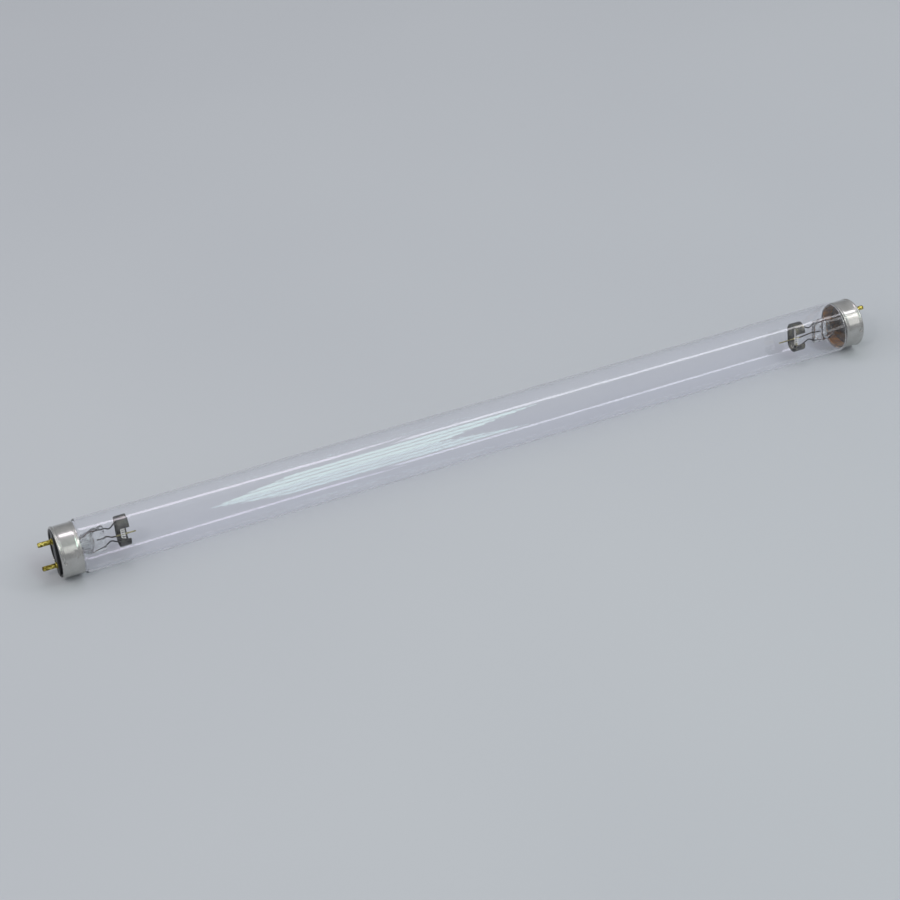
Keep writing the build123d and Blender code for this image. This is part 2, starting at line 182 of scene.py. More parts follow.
# Guard, filament and clamps
GUARD_WIDTH = 5.3
GUARD_LONG = 15.7
GUARD_SHORT = 9.0
GUARD_SHEET = 0.25
GUARD_GAP = 6.0
GUARD_HEM = 0.8
HEM_BEND = 0.3
BAND_SWAY, BAND_SWAY_SIZE = 0.05, 3.5
WELD_FROM_EDGE = 1.2
WELD_DEEP = 0.09
WELD_WIDE = 0.4
SUPPORT_BEND = 2.0
COIL_D = 1.7
COIL_PITCH = 1.15
COIL_TURNS = 7
COIL_HEIGHT = COIL_PITCH * COIL_TURNS
COIL_LEG = 0.75
CORE_D = 0.36
WINDING_D = 0.4
FINE_WIRE_D = 0.15
FINE_WIRE_TURNS = 175
FINE_WIRE_POINTS = 2900
LEG_D = 0.36
CLAMP_LENGTH = 1.4
CLAMP_ROUND = 0.12
CLAMP_PINCH = 0.16
CLAMP_R = LEG_D / 2 + 0.4
CLAMP_MIDDLE = COIL_HEIGHT / 2 + COIL_LEG + CLAMP_LENGTH / 2

# What differs between the two ends
MOUNT_LEAN = {"left": radians(4.6), "right": radians(1.0)}
GUARD_FROM_PRESS = {"left": 6.2, "right": 7.6}
OPEN_SIDE = {"left": -1, "right": 1}  # along each end's own Y; both face the viewer
WIRE_BELOW_MIDDLE = {"left": 4.2, "right": 3.0}
WIRE_PAST_GUARD = {"left": 4.3, "right": 5.4}
SEED = {"left": 3, "right": 8}


def end_place(side):
    """Matrix from an end's own millimetres to the lamp's metres."""
    turn = Matrix.Rotation(-PIN_LINE_TURN, 4, "X")
    if side == "left":
        place = Matrix.Translation((-FACE, 0, GLASS_R)) @ turn
    else:
        place = Matrix.Translation((FACE, 0, GLASS_R)) @ turn @ Matrix.Rotation(pi, 4, "Z")
    return Matrix.Scale(MM, 4) @ place


def lean(side, depth):
    """Offset along the pin line that the leaning mount has at a depth."""
    return max(0.0, depth - ROUND_END) * tan(MOUNT_LEAN[side])


def guard_middle(side):
    return PRESS_END + GUARD_FROM_PRESS[side] + GUARD_WIDTH / 2


def mount_rise(side):
    """Offset along the pin line of the guard and the filament."""
    return lean(side, guard_middle(side))


def wire_seat(side):
    """Place in the guard where the centre wire lies against the band."""
    below = WIRE_BELOW_MIDDLE[side]
    round_part = max(0.0, below - (GUARD_LONG - GUARD_SHORT) / 2)
    reach = GUARD_SHORT / 2 - GUARD_SHEET - SUPPORT_D / 2
    return -OPEN_SIDE[side] * sqrt(reach ** 2 - round_part ** 2), mount_rise(side) - below


def ease(share):
    """Smooth step from 0 to 1."""
    share = min(1.0, max(0.0, share))
    return share * share * (3 - 2 * share)


def unevenness(point, size, seed):
    """Smooth noise from about -1 to 1 whose bumps are this many millimetres across."""
    return noise.noise(Vector(point) / size + Vector((seed, 2 * seed, 3 * seed)))


def add_object(name, data):
    """New object in the scene."""
    made = bpy.data.objects.new(name, data)
    bpy.context.scene.collection.objects.link(made)
    return made


# Colours and materials

def colour(hex_code):
    """sRGB hex to the linear colour that a shader takes."""
    parts = [int(hex_code[i:i + 2], 16) / 255 for i in (1, 3, 5)]
    return (*[c / 12.92 if c <= 0.04045 else ((c + 0.055) / 1.055) ** 2.4 for c in parts], 1.0)


def add_node(tree, kind, settings=None, values=None, links=None, stops=()):
    """Adds one node: its settings, constant inputs, linked inputs and, on a ramp, (position, hex) stops."""
    made = tree.nodes.new(kind)
    for name, value in (settings or {}).items():
        setattr(made, name, value)
    for socket, value in (values or {}).items():
        made.inputs[socket].default_value = value
    for socket, source in (links or {}).items():
        tree.links.new(source.outputs[0] if hasattr(source, "outputs") else source, made.inputs[socket])
    for index, (position, hex_code) in enumerate(stops):
        points = made.color_ramp.elements
        point = points[index] if index < len(points) else points.new(position)
        point.position, point.color = position, colour(hex_code)
    return made


def start_material(name):
    """Empty node material, its tree and a function that adds a pattern to it."""
    material = bpy.data.materials.new(name)
    material.use_nodes = True
    tree = material.node_tree
    tree.nodes.clear()
    place = add_node(tree, "ShaderNodeTexCoord").outputs["Object"]

    def lumps(size, detail=2.0, stretch=(1, 1, 1)):
        """Pattern of lumps this many millimetres across, drawn out along the axes."""
        scale = [1 / s for s in stretch]
        laid = add_node(tree, "ShaderNodeMapping", None, {"Scale": scale}, {"Vector": place})
        values = {"Scale": 1 / (size * MM), "Detail": detail}
        return add_node(tree, "ShaderNodeTexNoise", None, values, {"Vector": laid})

    return material, tree, lumps


def spread(low, high, start=0.3, end=0.7):
    """Map Range values that take a range, by default a pattern's usual one, to low and high."""
    return {"From Min": start, "From Max": end, "To Min": low, "To Max": high}


def finish_with(material, tree, shader):
    add_node(tree, "ShaderNodeOutputMaterial", links={"Surface": shader})
    return material


def patterned(tree, tone, rough, reliefs=(), constants=None):
    """Principled shader that follows patterns.

    The tone is (pattern, colour stops) and the roughness is (pattern, low, high). Each relief is
    (pattern, height in millimetres) and lies over the one before it.
    """
    links = {
        "Base Color": add_node(tree, "ShaderNodeValToRGB", links={"Fac": tone[0]}, stops=tone[1]),
        "Roughness": add_node(tree, "ShaderNodeMapRange", None, spread(*rough[1:]), {"Value": rough[0]}),
    }
    under = {}
    for pattern, height in reliefs:
        bump = add_node(tree, "ShaderNodeBump", None, {"Distance": height * MM}, {"Height": pattern, **under})
        under = {"Normal": bump}
    return add_node(tree, "ShaderNodeBsdfPrincipled", None, constants, {**links, **under})


def clear_glass(material, tree, glass, middle, edge):
    """Lamps and bounced light pass the glass straight, with less of them at the wall's grazing edge."""
    path = add_node(tree, "ShaderNodeLightPath")
    facing = add_node(tree, "ShaderNodeLayerWeight", values={"Blend": 0.3}).outputs["Facing"]
    shade = add_node(tree, "ShaderNodeValToRGB", links={"Fac": facing},
                     stops=((0.0, middle), (0.8, middle), (1.0, edge)))
    straight = add_node(tree, "ShaderNodeBsdfTransparent", links={"Color": shade})
    passing = add_node(tree, "ShaderNodeMath", {"operation": "MAXIMUM"},
                       links={0: path.outputs["Is Shadow Ray"], 1: path.outputs["Is Diffuse Ray"]})
    mixed = add_node(tree, "ShaderNodeMixShader", links={0: passing, 1: glass, 2: straight})
    return finish_with(material, tree, mixed)


# Lines and grains below 0.4 mm are finer on the real lamp. They are drawn this coarse so that they show.

METAL = {"Metallic": 1.0}
DRAWN_ALONG = (15, 1, 1)


def drawn_tube_glass():
    """Soft glass tubing drawn from the melt: colourless, with faint draw lines and a thin handling film."""
    material, tree, lumps = start_material("drawn_tube_glass")
    draw_lines = lumps(4.0, 1.0, (80, 1, 1))
    film = lumps(14.0, 3.0, (3, 1, 1))
    stops = ((0.3, "#FDFDFF"), (0.7, "#FBFBFE"))
    glass = patterned(tree, (film, stops), (film, 0.0, 0.02), [(draw_lines, 0.0004)],
                      {"IOR": 1.5, "Transmission Weight": 1.0})
    return clear_glass(material, tree, glass, "#FCFCFD", "#A4A6AE")


def flame_pressed_glass():
    """Lead glass worked in the flame: slightly grey, with chill marks that break light into glints."""
    material, tree, lumps = start_material("flame_pressed_glass")
    melt = lumps(1.5, 2.0)
    chill = lumps(0.55, 1.0)
    stops = ((0.3, "#F8FAF9"), (0.7, "#FEFFFE"))
    glass = patterned(tree, (melt, stops), (chill, 0.0, 0.04), [(melt, 0.14), (chill, 0.07)],
                      {"IOR": 1.56, "Transmission Weight": 1.0})
    return clear_glass(material, tree, glass, "#F6F8F8", "#9CA2A4")


def drawn_aluminium():
    """Deep-drawn aluminium: satin skin with fine rings from the die, small nicks and faint smudges."""
    material, tree, lumps = start_material("drawn_aluminium")
    rings = lumps(0.3, 2.0, (1, 90, 90))
    smudge = lumps(6.0, 3.0)
    nicks = lumps(0.8, 4.0, (1, 3, 3))
    stops = ((0.3, "#B4B3AF"), (0.55, "#C0BFBB"), (0.75, "#C9C8C5"))
    reliefs = [(rings, 0.004), (nicks, 0.0015)]
    return finish_with(material, tree, patterned(tree, (smudge, stops), (smudge, 0.18, 0.27), reliefs, METAL))


def moulded_phenolic():
    """Compression-moulded phenolic: near-black, a dull gloss, fine filler grain and a little pale dust."""
    material, tree, lumps = start_material("moulded_phenolic")
    grain = lumps(0.2, 3.0)
    dust = lumps(1.1, 5.0)
    stops = ((0.35, "#151618"), (0.6, "#212225"), (0.78, "#434345"))
    shader = patterned(tree, (dust, stops), (dust, 0.3, 0.55), [(grain, 0.015)], {"IOR": 1.6})
    return finish_with(material, tree, shader)


def tarnished_brass():
    """Drawn brass pins: pale yellow metal with olive and brown patches left by flux and handling."""
    material, tree, lumps = start_material("tarnished_brass")
    patches = lumps(1.3, 4.0)
    draw = lumps(0.25, 1.0, (20, 1, 1))
    stops = ((0.36, "#57491C"), (0.46, "#93843A"), (0.58, "#CFC267"), (0.8, "#E9E2A4"))
    shader = patterned(tree, (patches, stops), (patches, 0.42, 0.16), [(draw, 0.006)], METAL)
    return finish_with(material, tree, shader)


def baked_cement():
    """Resin cement with marble filler, baked on: grainy and matt, burnt orange with darker brown streaks."""
    material, tree, lumps = start_material("baked_cement")
    streaks = lumps(3.0, 4.0, (2, 1, 1))
    grit = lumps(0.35, 2.0)
    stops = ((0.32, "#5E380F"), (0.5, "#9E6212"), (0.64, "#D08C22"), (0.8, "#E0B465"))
    return finish_with(material, tree, patterned(tree, (streaks, stops), (grit, 0.7, 0.95), [(grit, 0.08)]))


def wire_metal(name, dark, light):
    """Drawn wire that went through the sealing flame: its tone shifts along the wire between two colours."""
    material, tree, lumps = start_material(name)
    heat, draw = lumps(1.0, 3.0), lumps(0.2, 1.0, DRAWN_ALONG)
    stops = ((0.35, dark), (0.65, light))
    shader = patterned(tree, (heat, stops), (heat, 0.3, 0.5), [(draw, 0.005)], METAL)
    return finish_with(material, tree, shader)


def flame_tinted_wire():
    """Nickel wire: pale olive along the guard, and burnt nearly black next to the press."""
    material, tree, lumps = start_material("flame_tinted_wire")
    heat, draw = lumps(1.0, 3.0), lumps(0.2, 1.0, DRAWN_ALONG)
    place = add_node(tree, "ShaderNodeTexCoord").outputs["Object"]
    along = add_node(tree, "ShaderNodeSeparateXYZ", links={0: place})
    from_middle = add_node(tree, "ShaderNodeMath", {"operation": "ABSOLUTE"}, links={0: along.outputs["X"]})
    press = FACE - PRESS_END
    values = spread(0.0, 0.5, (press - CLEAN_PAST_PRESS) * MM, (press - BURNT_PAST_PRESS) * MM)
    burnt = add_node(tree, "ShaderNodeMapRange", None, values, {"Value": from_middle})
    shift = add_node(tree, "ShaderNodeMath", {"operation": "MULTIPLY_ADD"}, {1: 0.5}, {0: heat, 2: burnt})
    stops = ((0.17, "#77704A"), (0.33, "#BDB588"), (0.5, "#6B6350"), (0.67, "#26241F"), (0.83, "#4A453A"))
    shader = patterned(tree, (shift, stops), (heat, 0.25, 0.45), [(draw, 0.005)], METAL)
    return finish_with(material, tree, shader)


def plated_strip():
    """Nickel-plated steel strip: dull grey rolled metal with an olive heat tint in patches."""
    material, tree, lumps = start_material("plated_strip")
    rolling = lumps(0.25, 2.0, (1, 30, 30))
    tint = lumps(2.6, 3.0)
    stops = ((0.34, "#383837"), (0.5, "#5E5E5B"), (0.64, "#77745F"), (0.8, "#B4B4B0"))
    shader = patterned(tree, (tint, stops), (tint, 0.08, 0.22), [(rolling, 0.006)], METAL)
    return finish_with(material, tree, shader)


def emitter_coat():
    """Emitter coating: chalky white carbonate powder dried on the coil, thin and greyish in places."""
    material, tree, lumps = start_material("emitter_coat")
    powder = lumps(0.12, 3.0)
    thin = lumps(0.8, 3.0)
    stops = ((0.3, "#DCDAD5"), (0.5, "#F6F5F2"), (0.7, "#FCFCFA"))
    return finish_with(material, tree, patterned(tree, (thin, stops), (powder, 0.35, 0.6), [(powder, 0.03)]))


# Outlines and meshes

def rounded(corners, steps=5):
    """Outline of (depth, radius) points in which a corner with a third value is turned into an arc."""
    outline = []
    count = len(corners)
    for index, corner in enumerate(corners):
        here = Vector(corner[:2])
        if len(corner) < 3:
            outline.append(here)
            continue
        back = (Vector(corners[index - 1][:2]) - here).normalized()
        ahead = (Vector(corners[(index + 1) % count][:2]) - here).normalized()
        half = back.angle(ahead) / 2
        radius = corner[2]
        centre = here + (back + ahead).normalized() * radius / sin(half)
        first = here + back * radius / tan(half) - centre
        last = here + ahead * radius / tan(half) - centre
        sweep = first.angle_signed(last)
        for step in range(steps + 1):
            outline.append(centre + Matrix.Rotation(-sweep * step / steps, 2) @ first)
    return outline


def curve_between(start, end, steps=8):
    """S-shaped run between two outline points, level at both, without its last point."""
    return [(start[0] + (end[0] - start[0]) * i / steps, start[1] + (end[1] - start[1]) * ease(i / steps))
            for i in range(steps)]


def divided(start, end, parts):
    """Points from start towards end, without the last one."""
    return [(start[0] + (end[0] - start[0]) * i / parts, start[1] + (end[1] - start[1]) * i / parts)
            for i in range(parts)]


def spaced(path, step):
    """The path with points added wherever two neighbours lie further apart than the step."""
    points = []
    for here, after in zip(path, path[1:]):
        parts = max(1, ceil((Vector(after) - Vector(here)).length / step))
        points += divided(here, after, parts)
    return points + [tuple(path[-1])]


def rings_mesh(name, rings, place, closed=False, capped=False):
    """Mesh in metres through rings of equally many points, joined end to end or with its two ends capped."""
    around = len(rings[0])
    corners = [point for ring in rings for point in ring]
    faces = []
    for index in range(len(rings) if closed else len(rings) - 1):
        one, two = index * around, (index + 1) % len(rings) * around
        for k in range(around):
            after = (k + 1) % around
            faces.append((one + k, one + after, two + after, two + k))
    if capped:
        last = (len(rings) - 1) * around
        faces += [tuple(range(around)), tuple(range(last, last + around))]
    mesh = bpy.data.meshes.new(name)
    mesh.from_pydata(corners, [], faces)
    work = bmesh.new()
    work.from_mesh(mesh)
    bmesh.ops.remove_doubles(work, verts=work.verts, dist=1e-4)
    bmesh.ops.recalc_face_normals(work, faces=work.faces)
    work.to_mesh(mesh)
    work.free()
    mesh.transform(place)
    return mesh


def turned_mesh(name, outline, place, around, closed=True, shaped=None):
    """Solid of revolution about X. shaped(depth, angle, radius) may return another depth and radius."""
    rings = []
    for depth, radius in outline:
        ring = []
        for k in range(around):
            angle = 2 * pi * k / around
            there = shaped(depth, angle, radius) if shaped and radius > 0 else (depth, radius)
            ring.append((there[0], there[1] * sin(angle), there[1] * cos(angle)))
        rings.append(ring)
    return rings_mesh(name, rings, place, closed)


def add_piece(mesh, material, slot, *nodes):
    """Links a finished mesh as a piece of the lamp, in place of its solids."""
    mesh.materials.clear()
    mesh.materials.append(material)
    mesh.shade_smooth()
    mesh.set_sharp_from_angle(angle=SHARP_ANGLE)
    piece = add_object(mesh.name, mesh)
    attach(piece, BODY)
    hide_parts(*nodes)


def joined(name, *meshes):
    """One mesh made of several closed ones."""
    work = bmesh.new()
    for mesh in meshes:
        work.from_mesh(mesh)
        bpy.data.meshes.remove(mesh)
    result = bpy.data.meshes.new(name)
    work.to_mesh(result)
    work.free()
    return result


def mesh_of(host, name):
    """Plain mesh of an object as its modifiers leave it; the object and its first mesh are removed."""
    depsgraph = bpy.context.evaluated_depsgraph_get()
    mesh = bpy.data.meshes.new_from_object(host.evaluated_get(depsgraph), depsgraph=depsgraph)
    host.modifiers.clear()
    old = host.data
    bpy.data.objects.remove(host)
    bpy.data.meshes.remove(old)
    mesh.name = name
    return mesh


# Node trees that make what follows a path

def start_tree(name, *numbers):
    """Geometry node tree that takes a geometry, these numbers and a finish."""
    tree = bpy.data.node_groups.new(name, "GeometryNodeTree")
    kinds = [("Geometry", "Geometry"), *((number, "Float") for number in numbers), ("Finish", "Material")]
    for label, kind in kinds:
        tree.interface.new_socket(label, in_out="INPUT", socket_type=f"NodeSocket{kind}")
    tree.interface.new_socket("Geometry", in_out="OUTPUT", socket_type="NodeSocketGeometry")
    return tree, add_node(tree, "NodeGroupInput").outputs


def end_tree(tree, given, geometry):
    """Realizes the instances, sets the finish and ends the tree."""
    real = add_node(tree, "GeometryNodeRealizeInstances", links={"Geometry": geometry})
    made = add_node(tree, "GeometryNodeSetMaterial", links={"Geometry": real, "Material": given["Finish"]})
    add_node(tree, "NodeGroupOutput", links={"Geometry": made})
    return tree


def strand_along(tree, curve, radius, sides):
    """Round strand with closed ends along a curve."""
    ring = add_node(tree, "GeometryNodeCurvePrimitiveCircle", None, {"Resolution": sides}, {"Radius": radius})
    return add_node(tree, "GeometryNodeCurveToMesh", None, {"Fill Caps": True},
                    {"Curve": curve, "Profile Curve": ring})


def bent_wire_tree():
    """Round wire along a run of points, with each bend rounded."""
    tree, given = start_tree("bent_wire", "Radius", "Bend")
    path = add_node(tree, "GeometryNodeMeshToCurve", links={"Mesh": given["Geometry"]})
    bent = add_node(tree, "GeometryNodeFilletCurve", {"mode": "POLY"}, {"Count": 10, "Limit Radius": True},
                    {"Curve": path, "Radius": given["Bend"]})
    return end_tree(tree, given, strand_along(tree, bent, given["Radius"], sides=20))


def coated_coil_tree():
    """Filament: a core wound into a coil, a fine wire round that core, and a straight leg at each end."""
    tree, given = start_tree("coated_coil", "Turns", "Pitch", "Coil Radius", "Core Radius",
                             "Fine Radius", "Fine Turns", "Winding Radius", "Leg Radius", "Leg Length")
    coil_r = given["Coil Radius"]
    multiply = {"operation": "MULTIPLY"}
    rise = add_node(tree, "ShaderNodeMath", multiply, None, {0: given["Turns"], 1: given["Pitch"]})
    links = {"Rotations": given["Turns"], "Start Radius": coil_r, "End Radius": coil_r, "Height": rise}
    coil = add_node(tree, "GeometryNodeCurveSpiral", None, {"Resolution": 40}, links)
    fine = add_node(tree, "GeometryNodeResampleCurve", None, {"Count": FINE_WIRE_POINTS}, {"Curve": coil})
    along = add_node(tree, "GeometryNodeSplineParameter").outputs["Factor"]
    turn = add_node(tree, "ShaderNodeMath", multiply, None, {0: along, 1: given["Fine Turns"]})
    angle = add_node(tree, "ShaderNodeMath", multiply, {1: 2 * pi}, {0: turn})
    across = add_node(tree, "GeometryNodeInputNormal")
    ahead = add_node(tree, "GeometryNodeInputTangent")
    spun = add_node(tree, "ShaderNodeVectorRotate", links={"Vector": across, "Axis": ahead, "Angle": angle})
    out = add_node(tree, "ShaderNodeVectorMath", {"operation": "SCALE"}, None,
                   {0: spun, "Scale": given["Winding Radius"]})
    wound = add_node(tree, "GeometryNodeSetPosition", links={"Geometry": fine, "Offset": out})
    parts = [strand_along(tree, coil, given["Core Radius"], sides=12),
             strand_along(tree, wound, given["Fine Radius"], sides=5)]
    below = add_node(tree, "ShaderNodeMath", multiply, {1: -1.0}, {0: given["Leg Length"]})
    above = add_node(tree, "ShaderNodeMath", {"operation": "ADD"}, None, {0: rise, 1: given["Leg Length"]})
    for near, far in ((None, below), (rise, above)):
        start = add_node(tree, "ShaderNodeCombineXYZ", links={"X": coil_r, **({"Z": near} if near else {})})
        end = add_node(tree, "ShaderNodeCombineXYZ", links={"X": coil_r, "Z": far})
        line = add_node(tree, "GeometryNodeCurvePrimitiveLine", links={"Start": start, "End": end})
        parts.append(strand_along(tree, line, given["Leg Radius"], sides=14))
    whole = add_node(tree, "GeometryNodeJoinGeometry")
    for part in parts:
        tree.links.new(part.outputs[0], whole.inputs[0])
    return end_tree(tree, given, whole)


def grown_mesh(name, tree, inputs, place, points=()):
    """Runs a node tree on a line of points and returns the plain mesh in the lamp's metres."""
    line = bpy.data.meshes.new(name)
    line.from_pydata(points, [(i, i + 1) for i in range(len(points) - 1)], [])
    host = add_object(name, line)
    grower = host.modifiers.new("grow", "NODES")
    grower.node_group = tree
    for socket in tree.interface.items_tree:
        if socket.in_out == "INPUT" and socket.name in inputs:
            grower[socket.identifier] = inputs[socket.name]
    mesh = mesh_of(host, name)
    mesh.transform(place)
    return mesh


# Pieces

def make_clear_tube(material):
    """One turned wall: full bore, a shoulder, a neck and a turned-in seal ring at each end."""
    full = RIM_DEPTH + SHOULDER_START
    neck = full - SHOULDER_RUN
    lip_r = NECK_BORE_R - SEAL_LIP
    bore_r = GLASS_R - GLASS_WALL
    seal = [(BRIM_DEPTH, lip_r), (SEAL_DEPTH, lip_r), (SEAL_DEPTH, NECK_R, NECK_CORNER), (neck, NECK_R)]
    outer = rounded(seal)[:-1] + curve_between((neck, NECK_R), (full, GLASS_R), steps=14)
    outer += [(full + behind, GLASS_R) for behind in BEHIND_SHOULDER]
    inner = [(BRIM_DEPTH, NECK_BORE_R), (neck - 0.5, NECK_BORE_R)]
    inner += curve_between((neck, NECK_BORE_R), (full, bore_r), steps=14)
    inner += [(full + behind, bore_r) for behind in BEHIND_SHOULDER]
    run = divided((full - FACE, 0), (FACE - full, 0), parts=12)[1:]
    outline = [(depth - FACE, radius) for depth, radius in outer] + [(x, GLASS_R) for x, _ in run]
    outline += [(FACE - depth, radius) for depth, radius in outer[::-1] + inner]
    outline += [(x, bore_r) for x, _ in run[::-1]] + [(depth - FACE, radius) for depth, radius in inner[::-1]]
    place = Matrix.Scale(MM, 4) @ Matrix.Translation((0, 0, GLASS_R))
    mesh = turned_mesh("clear_tube", outline, place, around=240)
    add_piece(mesh, material, "tube_glass", "glass_tube")


def cap_shape(side):
    """How the two stakes, and on one cap a knock, press the drawn shell in."""

    def shaped(depth, angle, radius):
        if radius < LIP_BORE_R + SHELL_WALL:
            return depth, radius
        for stake in (pi / 2, 3 * pi / 2):
            away = hypot(depth - STAKE_DEPTH, SHELL_R * (angle - stake)) / STAKE_WIDE
            radius -= STAKE_DEEP * exp(-away ** 4)
        if side == "left":
            turn = (angle - KNOCK_ANGLE + pi) % (2 * pi) - pi
            bow = depth - KNOCK_DEPTH + KNOCK_BOW * (SHELL_R * turn) ** 2
            away = hypot(bow / KNOCK_WIDE, SHELL_R * turn / KNOCK_TALL)
            radius -= KNOCK_DEEP * exp(-away ** 2)
        return depth, radius

    return shaped


def make_cap(side, material):
    """Drawn cup with a turned-in lip, a rolled shoulder, a bead and a groove at each edge, and the stakes."""
    top = SHELL_SETBACK + SHELL_SHOULDER
    face_groove = SHELL_SETBACK + FACE_BEAD_WIDTH + BEAD_SLOPE / 2
    face_end = face_groove + BEAD_SLOPE
    rim_top = RIM_DEPTH - RIM_BEAD_WIDTH / 2
    rim_groove = RIM_DEPTH - RIM_BEAD_WIDTH - BEAD_SLOPE / 2
    rim_start = rim_groove - BEAD_SLOPE
    groove_r = SHELL_R - GROOVE
    outline = rounded([
        (SHELL_SETBACK, LIP_BORE_R, LIP_ROUND),
        (SHELL_SETBACK, BEAD_R, SHELL_SHOULDER),
        (top + 0.05, BEAD_R),
    ], steps=12)
    outline += curve_between((top + 0.1, BEAD_R), (face_groove, groove_r), steps=10)
    outline += curve_between((face_groove, groove_r), (face_end, SHELL_R), steps=6)
    outline += divided((face_end, SHELL_R), (rim_start, SHELL_R), parts=46)
    outline += curve_between((rim_start, SHELL_R), (rim_groove, groove_r), steps=6)
    outline += curve_between((rim_groove, groove_r), (rim_top, BEAD_R), steps=10)
    outline += rounded([
        (rim_top, BEAD_R),
        (RIM_DEPTH, BEAD_R, RIM_ROUND),
        (RIM_DEPTH, SHELL_BORE_R, BORE_ROUND),
        (RIM_DEPTH - 0.6, SHELL_BORE_R),
    ], steps=8)
    outline += divided((RIM_DEPTH - 0.8, SHELL_BORE_R), (LIP_BACK, SHELL_BORE_R), parts=48)
    outline += [(LIP_BACK, SHELL_BORE_R), (LIP_BACK, LIP_BORE_R)]
    mesh = turned_mesh(f"{side}_cap", outline, end_place(side), around=360, shaped=cap_shape(side))
    add_piece(mesh, material, "cap_aluminium", f"{side}_cap_shell")


def make_pin(side, name, up, material):
    """Hollow pin with a collar, a closed round tip, crimp dents and a rivet head."""
    pin_r = PIN_OD / 2
    tip = -PIN_LENGTH
    back = INSULATOR_BACK + RIVET_THICK
    corners = [
        (tip + TIP_HOLE_DEEP, 0), (tip, TIP_HOLE_R, 0.1), (tip, pin_r, PIN_TIP_ROUND),
        (-COLLAR_THICK, pin_r, 0.08), (-COLLAR_THICK, COLLAR_OD / 2, COLLAR_ROUND), (0, COLLAR_OD / 2, 0.06),
        (0, pin_r), (INSULATOR_BACK, pin_r), (INSULATOR_BACK, RIVET_OD / 2, 0.1), (back, RIVET_OD / 2, 0.1),
        (back, PIN_BORE / 2, 0.08), (tip + PIN_TIP_WALL, PIN_BORE / 2), (tip + PIN_TIP_WALL, 0),
    ]
    outline = rounded(corners, steps=6)
    shank_from = next(i for i, p in enumerate(outline) if p[0] > tip + PIN_TIP_ROUND - 0.01)
    shank = divided(tuple(outline[shank_from]), (-COLLAR_THICK - 0.1, pin_r), parts=50)
    outline = outline[:shank_from] + shank + outline[shank_from + 1:]

    def shaped(depth, angle, radius):
        if radius < PIN_BORE / 2 + FIT:
            return depth, radius
        for crimp in (pi / 2, 3 * pi / 2):
            away = hypot(depth - tip - CRIMP_FROM_TIP, pin_r * (angle - crimp))
            if away < CRIMP_BALL:
                radius = min(radius, pin_r + CRIMP_BALL - CRIMP_DENT - sqrt(CRIMP_BALL ** 2 - away ** 2))
        wave = unevenness((depth, 2 * sin(angle), 2 * cos(angle)), PIN_WEAR_SIZE, SEED[side] + up)
        return depth, radius - PIN_WEAR * (1 + wave) / 2

    place = end_place(side) @ Matrix.Translation((0, 0, up * PIN_SPACING / 2))
    mesh = turned_mesh(f"{side}_{name}_pin", outline, place, around=80, closed=False, shaped=shaped)
    add_piece(mesh, material, "pin_brass", f"{side}_{name}_contact_pin")


def make_cement(side, material):
    """Cement ring whose free edge was squeezed out unevenly between the neck and the shell."""
    outer, inner = SHELL_BORE_R - FIT, NECK_R + FIT
    end = RIM_DEPTH - CEMENT_FROM_RIM
    outline = [(CEMENT_START, inner), (CEMENT_START, outer)]
    outline += divided((end - FREE_EDGE, outer), (end, outer), parts=5)
    outline += [(end - 0.05, outer), (end, (outer + inner) / 2), (end - 0.05, inner)]
    outline += divided((end - 0.3, inner), (end - FREE_EDGE, inner), parts=5)

    def shaped(depth, angle, radius):
        around = (0, 12 * sin(angle), 12 * cos(angle))
        creep = CREEP * unevenness(around, CREEP_SIZE, SEED[side])
        creep += FINE_CREEP * unevenness(around, FINE_CREEP_SIZE, SEED[side])
        free = ease((depth - end + FREE_EDGE) / FREE_EDGE)
        return depth - free * abs(creep), radius

    mesh = turned_mesh(f"{side}_cement", outline, end_place(side), around=240, shaped=shaped)
    add_piece(mesh, material, "basing_cement", f"{side}_basing_cement")


def stem_ring(side, depth, wide, thick, square=ROUND, melt=0.0):
    """One ring of the stem: wide along the pin line, thick across it, with melted unevenness."""
    ring = []
    around = 144
    middle = lean(side, depth)
    for k in range(around):
        angle = 2 * pi * k / around
        s, c = sin(angle), cos(angle)
        y = thick * copysign(abs(s) ** (2 / square), s)
        z = wide * copysign(abs(c) ** (2 / square), c)
        rolled = unevenness((depth, y, z), MELT_SIZE, SEED[side])
        rolled += 0.4 * unevenness((depth, y, z), FINE_MELT_SIZE, SEED[side])
        wave = 1 + melt * rolled / max(1.5, hypot(y, z))
        ring.append((depth, y * wave, z * wave + middle))
    return ring


def stem_outside(depth):
    """Half width along the pin line and half thickness across it, from the round tube to the flat press."""
    share = (depth - ROUND_END) / (SQUEEZE_END - ROUND_END)
    flat = ease((share - SQUEEZE_LATE) / (1 - SQUEEZE_LATE))
    swell = SWELL * exp(-((depth - BUBBLE_DEPTH) / SWELL_LONG) ** 2)
    return [STEM_R + (half - STEM_R) * flat + swell for half in (PRESS_WIDTH / 2, PRESS_THICK / 2)]


def flare_rings(side, tube_r, reach, melt):
    """Rings of one face of the flare, from the round tube out to the brim."""
    rings = []
    turns = 20
    for step in range(turns + 1):
        angle = pi / 2 * step / turns
        radius = tube_r + reach * (1 - cos(angle))
        rings.append(stem_ring(side, FLARE_END - reach * sin(angle), radius, radius, melt=melt))
    return rings


